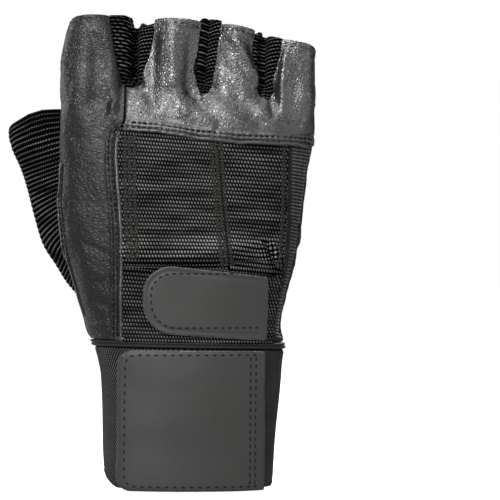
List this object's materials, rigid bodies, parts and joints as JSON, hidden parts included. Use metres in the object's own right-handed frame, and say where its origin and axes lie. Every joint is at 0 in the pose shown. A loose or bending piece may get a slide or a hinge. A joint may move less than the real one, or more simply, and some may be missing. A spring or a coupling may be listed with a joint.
{
  "type": "weightlifting glove",
  "caption": "Half-finger lifting glove of leather and knit, with open finger ends, a strap tab and a wide elastic wrist cuff closed by a flap.",
  "frame": {"origin": "middle of the wrist opening, at the lower edge of the cuff", "axes": "+Z towards the fingers, -Y out of the back of the hand, +Y out of the palm, -X towards the thumb; a right-hand glove"},
  "size_m": [0.132, 0.0625, 0.2029],
  "materials": {
    "leather": "grained, half glossy",
    "knit": "ribbed elastic knit",
    "elastic": "fine twill elastic",
    "synthetic": "smooth synthetic leather, half matte"
  },
  "bodies": {
    "root": {"index_side_panel": "leather", "knuckle_panel": "leather", "palm_leather": "leather", "finger_leather": "leather", "palm_overlay": "leather", "palm_pad": "leather", "thumb_patch": "leather", "fourchette_index_middle": "knit", "fourchette_middle_ring": "knit", "fourchette_ring_little": "knit", "back_mesh_left": "knit", "back_mesh_right": "knit", "back_mesh_lower": "knit", "side_strip": "knit", "thumb_stall": "knit", "cuff_band": "elastic", "wrist_hem": "elastic", "cuff_flap": "synthetic", "strap_tab": "synthetic"}
  },
  "joints": []
}
